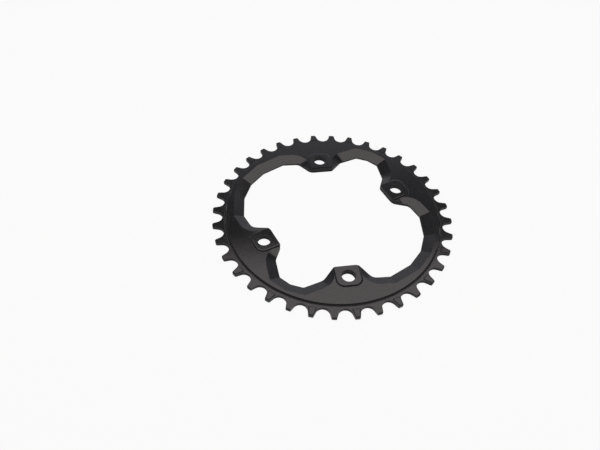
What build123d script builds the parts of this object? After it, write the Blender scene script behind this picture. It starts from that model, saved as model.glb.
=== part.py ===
from build123d import *
import os
from math import asin, atan, atan2, cos, degrees, hypot, radians, sin, sqrt, tan

# A bicycle chainring for a single-ring crank, machined from one aluminium plate.
# Narrow and wide teeth take turns round the rim, and four bolt tabs reach into the opening.
# Sizes are millimetres and degrees. The ring lies on its back face at z = 0 and its axis is Z.
# X runs through the two long gaps between the tabs, Y through the two short ones.

# Chain and teeth
chain_pitch = 12.7          # half-inch roller chain
tooth_count = 36            # even, so that narrow and wide teeth can take turns
gullet_radius = 4.2         # round seat of a chain roller
flank_angle = 19.5          # each straight flank against the middle line of its gullet
tooth_rise = 2.1            # tooth tip above the pitch circle
narrow_tip_corner = 0.6     # rounding of a narrow tooth's tip in plan
wide_tip_corner = 0.25      # and of a wide tooth's blunter tip
narrow_thickness = 2.2      # narrow teeth and the rim band they stand on
narrow_bevel_run = 0.5
narrow_bevel_drop = 0.45

# Wide teeth carry a ridge on both faces that fills the gap of an outer chain link
ridge_height = 0.35         # above each face of the rim band
wide_bevel = 0.5            # across the tip
ridge_inset = 0.6           # start of the ridge outside the gullet roots
ridge_root_width = 3.8
ridge_tip_width = 1.8
ridge_side_angle = 45.0     # slope of the ridge's sides

# Flat body inside the rim band
step_height = 1.05          # body's front face above the rim band
band_width = 1.67           # rim band between the body's edge and the gullet roots
step_chamfer = 0.6          # on the body's front edge
step_foot = 0.3             # steeper foot of the body's edge, out on the rim band

# Bolt tabs
bolt_circle = 96.0
short_spread = 70.0         # angle between the two bolts either side of the Y axis
hole_diameter = 8.1
hole_chamfer = 0.15
tab_width = 14.7            # across the end of the tab
boss_width = 15.8           # foot of the raised pad round each hole, across the tab
boss_out = 7.2              # and outwards from the hole
boss_rise = 0.6             # pad face above the body's front face
boss_corner = 5.5           # outer corners of the pad
boss_round = 1.4            # its edge rolls over to the body's front face
boss_end_bevel = 0.45       # edge of the pad at the end of the tab
boss_end_angle = 45.0       # and its slope against the hole's axis
long_tab_round = 5.0        # inner corner of the tab on the long gap
short_tab_round = 2.9       # and on the short gap
valley_side = 14.3          # valley beside a tab, measured from the hole across the tab
long_valley_out = 1.05      # and outwards along the tab, on the long gap
short_valley_out = -0.5     # and on the short gap
valley_radius = 4.5

# Gaps between the tabs: straight-sided, each corner at an angle from the gap's middle line
# and with a width of body left outside it
long_middle_web = 8.58
long_shoulder_angle = 12.8
long_shoulder_web = 9.33
long_corner_angle = 28.4
long_corner_web = 11.58
short_middle_web = 8.48
short_corner_angle = 7.6
short_corner_web = 9.48
gap_corner_radius = 1.7

# The body's front slopes down to a thin lip round each gap
lip_height = 1.05
slope_run = 6.3

# Derived sizes
tooth_step = 360 / tooth_count
pitch_radius = chain_pitch / 2 / sin(radians(tooth_step / 2))
root_radius = pitch_radius - gullet_radius
tip_radius = pitch_radius + tooth_rise
body_radius = root_radius - band_width
wide_thickness = narrow_thickness + 2 * ridge_height
chain_plane = wide_thickness / 2
band_back = ridge_height
band_front = band_back + narrow_thickness
body_thickness = band_front + step_height
boss_top = body_thickness + boss_rise
bolt_radius = bolt_circle / 2
tab_half = tab_width / 2
boss_reach = sqrt(boss_round ** 2 - (boss_round - boss_rise) ** 2)   # rounded edge of the pad, in plan
boss_spread = boss_round - boss_reach   # the rest of that rounding lies inside the body
first_bolt = 90 - short_spread / 2
bolt_angles = [first_bolt, 180 - first_bolt, 180 + first_bolt, 360 - first_bolt]
through = 2 * boss_top      # length of cuts that pass right through


def polar(radius, angle):
    return (radius * cos(radians(angle)), radius * sin(radians(angle)))


def on_tab(outward, across):
    """Point of the first tab's plan, measured from its hole along and across the tab."""
    x, y = polar(bolt_radius + outward, first_bolt)
    side_x, side_y = polar(across, first_bolt + 90)
    return (x + side_x, y + side_y)


# One quarter of the opening's outline, from the X axis round to the Y axis
long_middle = (body_radius - long_middle_web, 0)
long_shoulder = polar(body_radius - long_shoulder_web, long_shoulder_angle)
long_corner = polar(body_radius - long_corner_web, long_corner_angle)
long_valley = on_tab(long_valley_out, -valley_side)
long_tab_corner = on_tab(-tab_half, -tab_half)
short_tab_corner = on_tab(-tab_half, tab_half)
short_valley = on_tab(short_valley_out, valley_side)
short_corner = polar(body_radius - short_corner_web, 90 - short_corner_angle)
short_middle = (0, body_radius - short_middle_web)


def opening():
    """Plan of the whole opening: the quarter outline mirrored over both axes."""
    quarter = [
        (long_shoulder, 0),
        (long_corner, gap_corner_radius),
        (long_valley, valley_radius),
        (long_tab_corner, long_tab_round),
        (short_tab_corner, short_tab_round),
        (short_valley, valley_radius),
        (short_corner, gap_corner_radius),
    ]
    corners = []
    for sign_x, sign_y in [(1, 1), (-1, 1), (-1, -1), (1, -1)]:
        turned = quarter if sign_x == sign_y else quarter[::-1]
        middle = long_middle if sign_x == sign_y else short_middle
        corners.append(((sign_x * middle[0], sign_y * middle[1]), 0))
        corners += [((sign_x * x, sign_y * y), radius) for (x, y), radius in turned]
    points = [point for point, radius in corners]
    radii = [radius for point, radius in corners]
    return make_face(FilletPolyline(*points, radius=radii, close=True))


def facet_direction(valley, tab_corner, side):
    """Level direction of the sloped facet beside a tab, in degrees.

    The facet starts at the lip in the valley and reaches the body's face at the tab's corner.
    """
    reach_x = tab_corner[0] - valley[0]
    reach_y = tab_corner[1] - valley[1]
    climb = degrees(asin(slope_run / hypot(reach_x, reach_y)))
    return degrees(atan2(reach_y, reach_x)) + side * climb


def gap_slopes(half_outline, facet, lies_along_x):
    """Cutter for the slopes round one gap: an outline at lip height that widens upwards.

    half_outline runs from the gap's middle to the valley, and facet is the level direction
    in which the facet beside the tab leaves the valley. The two facets meet on the gap's axis.
    """
    x, y = half_outline[-1]
    if lies_along_x:
        meeting = (x - y / tan(radians(facet)), 0)
        mirrored = [(px, -py) for px, py in half_outline[1:]]
    else:
        meeting = (0, y - x * tan(radians(facet)))
        mirrored = [(-px, py) for px, py in half_outline[1:]]
    points = [meeting, *mirrored[::-1], *half_outline]
    radii = [0] * len(points)
    radii[1] = valley_radius
    radii[-1] = valley_radius
    lip_outline = make_face(FilletPolyline(*points, radius=radii, close=True))
    slope = slope_run / (body_thickness - lip_height)
    cut_height = boss_top - lip_height
    wide_outline = offset(lip_outline, slope * cut_height, kind=Kind.INTERSECTION)
    narrowing = extrude(wide_outline, cut_height, taper=degrees(atan(slope)))
    return Pos(0, 0, boss_top) * mirror(narrowing, Plane.XY)


def tip_corners(plan, wide):
    """Sharp corners at the tips of the wide teeth, or of the narrow ones."""
    corners = []
    for corner in plan.vertices():
        place = int(degrees(atan2(corner.Y, corner.X)) // tooth_step)
        if hypot(corner.X, corner.Y) > pitch_radius and (place % 2 == 0) == wide:
            corners.append(corner)
    return corners


def tooth_plan():
    """Outline of the whole ring with all its teeth."""
    side = Vector(*polar(gullet_radius, 90 + flank_angle))
    run = Vector(*polar(2 * gullet_radius, flank_angle))
    lower_side = Vector(side.X, -side.Y)
    lower_run = Vector(run.X, -run.Y)
    seat = ThreePointArc(side, (-gullet_radius, 0), lower_side)
    flanks = Polyline(lower_side, lower_side + lower_run, side + run, side)
    gullet = Pos(pitch_radius, 0) * make_face([seat, flanks])
    gullets = [Rot(0, 0, k * tooth_step) * gullet for k in range(tooth_count)]
    plan = Circle(tip_radius) - gullets
    plan = fillet(tip_corners(plan, wide=True), wide_tip_corner)
    return fillet(tip_corners(plan, wide=False), narrow_tip_corner)


def turned_blank():
    """Body, step and rim band with bevelled outer edges, as turned before the teeth are cut."""
    section = [
        (0, 0),
        (body_radius - band_back, 0),
        (body_radius, band_back),
        (tip_radius - narrow_bevel_run, band_back),
        (tip_radius, band_back + narrow_bevel_drop),
        (tip_radius, band_front - narrow_bevel_drop),
        (tip_radius - narrow_bevel_run, band_front),
        (body_radius + step_foot, band_front),
        (body_radius, body_thickness - step_chamfer),
        (body_radius - step_chamfer, body_thickness),
        (0, body_thickness),
    ]
    return revolve(Plane.XZ * make_face(Polyline(*section, close=True)), Axis.Z)


def ridge():
    """Ridge of one wide tooth on both faces of the band, standing on the X axis.

    Its flat top narrows towards the tip, and all its sides slope down to the middle of the tooth.
    """
    half = wide_thickness / 2
    top_start = root_radius + ridge_inset + ridge_height
    top_end = tip_radius - wide_bevel
    top = make_face(Polyline(
        (top_start, ridge_root_width / 2),
        (top_end, ridge_tip_width / 2),
        (top_end, -ridge_tip_width / 2),
        (top_start, -ridge_root_width / 2),
        close=True,
    ))
    foot = offset(top, half / tan(radians(ridge_side_angle)), kind=Kind.INTERSECTION)
    front = extrude(foot, half, taper=90 - ridge_side_angle)
    return Pos(0, 0, chain_plane) * (front + mirror(front, Plane.XY))


def bolt_hole():
    """Bolt hole with a small chamfer at both faces, standing on the Z axis."""
    radius = hole_diameter / 2
    section = Polyline(
        (0, 0),
        (radius + hole_chamfer, 0),
        (radius, hole_chamfer),
        (radius, boss_top - hole_chamfer),
        (radius + hole_chamfer, boss_top),
        (0, boss_top),
        close=True,
    )
    return revolve(Plane.XZ * make_face(section), Axis.Z)


def boss(gap_plan):
    """Raised pad on the first tab, rounded along its sides and bevelled at the end of the tab."""
    outer = boss_out + boss_spread
    width = boss_width + 2 * boss_spread
    pad = Pos(outer, 0) * Rectangle(outer + tab_width, width, align=(Align.MAX, Align.CENTER))
    pad = fillet(pad.vertices().group_by(Axis.X)[-1], boss_corner)
    block = extrude(pad, boss_top)
    rim = block.faces().sort_by(Axis.Z)[-1].edges().sort_by(Axis.X)[1:]
    block = fillet(rim, boss_round)
    widened = offset(gap_plan, boss_end_bevel * tan(radians(boss_end_angle)))
    narrowing = extrude(widened, boss_end_bevel, taper=boss_end_angle)
    bevel = Pos(0, 0, boss_top) * mirror(narrowing, Plane.XY)
    placed = Rot(0, 0, first_bolt) * Pos(bolt_radius, 0) * block
    return placed - extrude(gap_plan, through) - bevel


def chainring():
    gap_plan = opening()
    ring = turned_blank()
    wide_tooth = ridge()
    ring += [Rot(0, 0, (k + 0.5) * tooth_step) * wide_tooth for k in range(0, tooth_count, 2)]
    outside = Circle(tip_radius + tooth_rise) - tooth_plan()
    ring -= extrude(outside, through)

    long_outline = [long_middle, long_shoulder, long_corner, long_valley]
    long_facet = facet_direction(long_valley, long_tab_corner, 1)
    long_cut = gap_slopes(long_outline, long_facet, True)
    short_outline = [short_middle, short_corner, short_valley]
    short_facet = facet_direction(short_valley, short_tab_corner, -1)
    short_cut = gap_slopes(short_outline, short_facet, False)
    ring -= [long_cut, Rot(0, 0, 180) * long_cut, short_cut, Rot(0, 0, 180) * short_cut]

    ring -= extrude(gap_plan, through)
    pad = boss(gap_plan)
    ring += [pad, mirror(pad, Plane.YZ), mirror(pad, Plane.XZ), Rot(0, 0, 180) * pad]
    ring -= [Rot(0, 0, angle) * Pos(bolt_radius, 0) * bolt_hole() for angle in bolt_angles]
    return ring


os.makedirs("parts", exist_ok=True)
export_step(chainring(), "parts/chainring.step")
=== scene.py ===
import math

import bmesh
import bpy
from mathutils import Matrix, Vector

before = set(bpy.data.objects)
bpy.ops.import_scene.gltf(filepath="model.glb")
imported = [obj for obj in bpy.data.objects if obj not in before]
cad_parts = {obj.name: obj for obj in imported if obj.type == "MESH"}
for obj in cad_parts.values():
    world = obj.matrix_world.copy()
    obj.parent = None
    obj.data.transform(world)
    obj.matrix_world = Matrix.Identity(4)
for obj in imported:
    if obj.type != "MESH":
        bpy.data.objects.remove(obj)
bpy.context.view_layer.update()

# Chainring
# One plate of aluminium alloy. It is turned to its stepped rim, milled to its teeth, tabs and
# sloped gaps, then blasted with fine beads and anodised black, so every face has the same satin skin.

MM = 0.001
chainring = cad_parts["chainring"]


def linear(hex_colour):
    """Linear RGBA of an sRGB hex colour."""
    channels = [int(hex_colour[i:i + 2], 16) / 255 for i in (1, 3, 5)]
    return (*[c / 12.92 if c <= 0.04045 else ((c + 0.055) / 1.055) ** 2.4 for c in channels], 1)


def add(tree, kind, settings=None, **inputs):
    """Node of one kind with its settings, and its inputs set to values or linked to sockets.

    An input goes by its name, with _ for each space, or by i and its number.
    """
    node = tree.nodes.new("ShaderNode" + kind)
    for name, value in (settings or {}).items():
        setattr(node, name, value)
    for name, value in inputs.items():
        by_number = name[0] == "i" and name[1:].isdigit()
        socket = node.inputs[int(name[1:]) if by_number else name.replace("_", " ")]
        if isinstance(value, bpy.types.NodeSocket):
            tree.links.new(value, socket)
        else:
            socket.default_value = value
    return node


# Black anodised aluminium, bead blasted: the eye sees the dyed oxide skin and not the metal, so the gloss
# is that of a stone or glaze and has no tint. The skin is almost black and takes the grey of the lamps.
# The blasting gives a fine even grain of bumps. Paler flecks on that grain are painted into the colour
# as painted glints of its facets. The dye is patchy by a shade and paler on the sharp corners, where the
# skin is thin. The inner corners are dull with marks that the beads didn't reach.
anodised = bpy.data.materials.new("black_anodised_aluminium")
anodised.use_nodes = True
tree = anodised.node_tree
tree.nodes.clear()
place = add(tree, "TexCoord").outputs["Object"]

blast_grain = 0.35 * MM         # the real grain is near 0.05 mm, drawn coarser so that it shows
blast_depth = 0.004 * MM
dye_patch = 14 * MM
grain = add(tree, "TexNoise", Vector=place, Scale=1 / blast_grain, Detail=2.0, Roughness=0.6)
patches = add(tree, "TexNoise", Vector=place, Scale=1 / dye_patch, Detail=3.0, Roughness=0.55)

patch_low = 0.3                 # noise of the deepest and of the lightest dye
patch_high = 0.7
dye = add(tree, "ValToRGB", Fac=patches.outputs["Fac"])
dye.color_ramp.elements[0].position = patch_low
dye.color_ramp.elements[0].color = linear("#050506")
dye.color_ramp.elements[1].position = patch_high
dye.color_ramp.elements[1].color = linear("#0a0a0b")

# a Mix node's two colours are its inputs 6 and 7, and its mixed colour is output 2
# painted glints: the sparkle of the blasted facets, painted into the colour as paler flecks on the grain
glint_from = 0.55               # noise at which a grain starts to pale, and at which it is a fleck
glint_full = 0.7
glint_share = 0.8
painted_glints = add(tree, "MapRange", Value=grain.outputs["Fac"], From_Min=glint_from, From_Max=glint_full,
             To_Min=0.0, To_Max=glint_share)
dye_with_painted_glints = add(tree, "Mix", {"data_type": "RGBA"}, i0=painted_glints.outputs["Result"], i6=dye.outputs["Color"],
               i7=linear("#323233"))

corner_wear = 0.25 * MM         # width of the paler dye beside a corner
wear_from = 0.995               # cosine between a face and its rounded corner, without wear and fully worn
wear_full = 0.92
wear_share = 0.7
flat = add(tree, "NewGeometry").outputs["Normal"]
turned = add(tree, "Bevel", {"samples": 4}, Radius=corner_wear).outputs["Normal"]
alike = add(tree, "VectorMath", {"operation": "DOT_PRODUCT"}, i0=flat, i1=turned).outputs["Value"]
thin = add(tree, "MapRange", Value=alike, From_Min=wear_from, From_Max=wear_full,
           To_Min=0.0, To_Max=wear_share)
colour = add(tree, "Mix", {"data_type": "RGBA"}, i0=thin.outputs["Result"], i6=dye_with_painted_glints.outputs[2],
             i7=linear("#2a2a2b"))

satin_low = 0.13                # roughness of the skin where the dye is deepest and lightest
satin_high = 0.16
cutter_marks = 1.1 * MM         # reach of the dull marks out of an inner corner
open_face = 0.96                # how open a face is beside the marks, and deep in the corner
inner_corner = 0.77
marked_roughness = 0.7
sheen = add(tree, "MapRange", Value=patches.outputs["Fac"], From_Min=patch_low, From_Max=patch_high,
            To_Min=satin_low, To_Max=satin_high)
open_round = add(tree, "AmbientOcclusion", {"samples": 8, "only_local": True}, Distance=cutter_marks)
dulled = add(tree, "MapRange", Value=open_round.outputs["AO"], From_Min=open_face, From_Max=inner_corner,
             To_Min=sheen.outputs["Result"], To_Max=marked_roughness)

corner_round = 0.12 * MM        # corners as the blasting leaves them
oxide_ior = 1.55
rounded = add(tree, "Bevel", {"samples": 6}, Radius=corner_round)
blasted = add(tree, "Bump", Height=grain.outputs["Fac"], Distance=blast_depth, Strength=1.0,
              Normal=rounded.outputs["Normal"])
skin = add(tree, "BsdfPrincipled", Base_Color=colour.outputs[2], Roughness=dulled.outputs["Result"],
           Metallic=0.0, IOR=oxide_ior, Normal=blasted.outputs["Normal"])
add(tree, "OutputMaterial", Surface=skin.outputs["BSDF"])
chainring.material_slots[0].material = anodised

# Floor
# A white paper floor that the ring lies on, turned up far off on all sides. It fills the view, shows in
# the gloss of the metal and takes the ring's soft shadow.

sweep_radius = 3.0
sweep_height = 0.6
sweep_sides = 96
floor_mesh = bpy.data.meshes.new("floor")
shell = bmesh.new()
bmesh.ops.create_circle(shell, cap_ends=True, segments=sweep_sides, radius=sweep_radius)
raised = bmesh.ops.extrude_edge_only(shell, edges=[e for e in shell.edges if e.is_boundary])
lifted = [v for v in raised["geom"] if isinstance(v, bmesh.types.BMVert)]
bmesh.ops.translate(shell, vec=(0, 0, sweep_height), verts=lifted)
shell.to_mesh(floor_mesh)
shell.free()
floor = bpy.data.objects.new("floor", floor_mesh)
bpy.context.scene.collection.objects.link(floor)

# Matt paper: no gloss and no colour. It throws a plain grey up into the holes and the teeth, while the
# camera sees it almost evenly white. The gloss shows that white only where the floor is clear of the
# ring's own shade, and more of it in front of the ring than beside and behind it.
white_paper = bpy.data.materials.new("white_paper")
white_paper.use_nodes = True
tree = white_paper.node_tree
tree.nodes.clear()

under_ring = 66 * MM            # radius up to which the gloss shows no white, and from which it shows it
clear_of_ring = 76 * MM
spot = add(tree, "TexCoord").outputs["Object"]
away = add(tree, "VectorMath", {"operation": "LENGTH"}, i0=spot).outputs["Value"]
backdrop = add(tree, "MapRange", {"interpolation_type": "SMOOTHSTEP"}, Value=away,
               From_Min=under_ring, From_Max=clear_of_ring, To_Min=0.0, To_Max=1.0).outputs["Result"]
path_kind = add(tree, "LightPath").outputs
bounced = add(tree, "Math", {"operation": "MAXIMUM"}, i0=path_kind["Is Glossy Ray"],
              i1=path_kind["Is Transmission Ray"])
mirrored = add(tree, "Math", {"operation": "MULTIPLY"}, i0=bounced.outputs[0], i1=backdrop)

to_front = (0.32, -0.95, 0)
front_from = 45 * MM            # distance to the front at which the white starts to grow, and is full
front_full = 72 * MM
side_share = 0.2
front_share = 0.6
forward = add(tree, "VectorMath", {"operation": "DOT_PRODUCT"}, i0=spot, i1=to_front)
front = add(tree, "MapRange", {"interpolation_type": "SMOOTHSTEP"}, Value=forward.outputs["Value"],
            From_Min=front_from, From_Max=front_full, To_Min=side_share, To_Max=front_share)
dimmed = add(tree, "Math", {"operation": "MULTIPLY"}, i0=mirrored.outputs[0], i1=front.outputs["Result"])

even_share = 0.93               # the rest is the paper as it is lit, with the ring's shadow
shown = add(tree, "Math", {"operation": "MAXIMUM"}, i0=path_kind["Is Camera Ray"], i1=dimmed.outputs[0])
evenness = add(tree, "Math", {"operation": "MULTIPLY"}, i0=shown.outputs[0], i1=even_share)
matt = add(tree, "BsdfDiffuse", Color=linear("#bebebe"))
even_white = add(tree, "Emission", Color=linear("#ffffff"), Strength=1.0)
both = add(tree, "MixShader", Fac=evenness.outputs[0], i1=matt.outputs[0], i2=even_white.outputs[0])
add(tree, "OutputMaterial", Surface=both.outputs[0])
floor.data.materials.append(white_paper)

# Studio light
# A soft box hangs level over the ring, a tall panel stands behind it to the left, and the room is grey
# with a lighter back wall and a dark ceiling: they give the gloss its bright and dark parts. A second
# lamp overhead brings the light up to a plain level and isn't seen in the gloss.


def soft_box(name, centre, turn, width, depth, colour, radiance):
    """Rectangular lamp that glows evenly with that radiance and isn't seen itself."""
    lamp = bpy.data.lights.new(name, "AREA")
    lamp.shape = "RECTANGLE"
    lamp.size = width
    lamp.size_y = depth
    lamp.energy = radiance * math.pi * width * depth
    lamp.color = linear(colour)[:3]
    box = bpy.data.objects.new(name, lamp)
    box.location = centre
    box.rotation_euler = turn
    box.visible_camera = False
    bpy.context.scene.collection.objects.link(box)
    return box


# the box is turned to the ring's near right side, and its edges are measured along and across that line
box_turn = math.radians(29.4)
box_height = 0.6
box_far = 0.428
box_near = -0.1
box_left = -0.33
box_right = 0.355
box_glow = 1.62
along = Vector((-math.sin(box_turn), math.cos(box_turn), 0))
across = Vector((math.cos(box_turn), math.sin(box_turn), 0))
middle = along * (box_far + box_near) / 2 + across * (box_left + box_right) / 2
middle.z = box_height
soft_box("overhead", middle, (0, 0, box_turn), box_right - box_left, box_far - box_near, "#fff6f7", box_glow)

panel_size = 0.96
panel_place = (-0.282, 1.014, panel_size / 2)
panel_upright = math.radians(-90)
panel_turn = math.radians(40)
panel_glow = 0.27
soft_box("panel", panel_place, (panel_upright, 0, panel_turn), panel_size, panel_size, "#f6f7ff", panel_glow)

fill_size = 1.3
fill_height = 0.9
fill_glow = 1.0
fill = soft_box("fill", (0, 0, fill_height), (0, 0, 0), fill_size, fill_size, "#fffafa", fill_glow)
fill.visible_glossy = False

room = bpy.data.worlds.new("grey_room")
room.use_nodes = True
tree = room.node_tree
tree.nodes.clear()
wall_glow = 0.23
back_wall_glow = 0.42
ceiling_glow = 0.03
to_back_wall = (-0.42, 0.91, 0)
back_wall_from = 0.2            # cosine to the middle of the back wall, where it starts and is full
back_wall_full = 0.9
ceiling_from = 0.62             # sine of the height above the floor, where the ceiling starts and is full
ceiling_full = 0.84
direction = add(tree, "TexCoord").outputs["Generated"]
height = add(tree, "SeparateXYZ", Vector=direction).outputs["Z"]
backwards = add(tree, "VectorMath", {"operation": "DOT_PRODUCT"}, i0=direction, i1=to_back_wall)
walls = add(tree, "MapRange", Value=backwards.outputs["Value"], From_Min=back_wall_from,
            From_Max=back_wall_full, To_Min=wall_glow, To_Max=back_wall_glow).outputs["Result"]
walls_and_ceiling = add(tree, "MapRange", {"interpolation_type": "SMOOTHSTEP"}, Value=height,
                        From_Min=ceiling_from, From_Max=ceiling_full, To_Min=walls, To_Max=ceiling_glow)
glow = add(tree, "Background", Color=linear("#f6f7ff"), Strength=walls_and_ceiling.outputs["Result"])
add(tree, "OutputWorld", Surface=glow.outputs[0])
bpy.context.scene.world = room

# Camera
# It stands in front of the ring, to its right, and looks down at the table. Its lens, place and tilt are
# those that put the ring's outline where the photograph has it.

lens = bpy.data.cameras.new("camera")
lens.sensor_width = 36
lens.lens = 34.68
lens.clip_start = 0.01
camera = bpy.data.objects.new("camera", lens)
eye = Vector((76.61, -228.81, 273.5)) * MM
target = Vector((-15.19, -15.39, 0)) * MM
roll = math.radians(3.954)
level = (target - eye).to_track_quat("-Z", "Y").to_matrix().to_4x4()
camera.matrix_world = Matrix.Translation(eye) @ level @ Matrix.Rotation(roll, 4, "Z")
bpy.context.scene.collection.objects.link(camera)
bpy.context.scene.camera = camera
bpy.context.scene.view_settings.view_transform = "Standard"
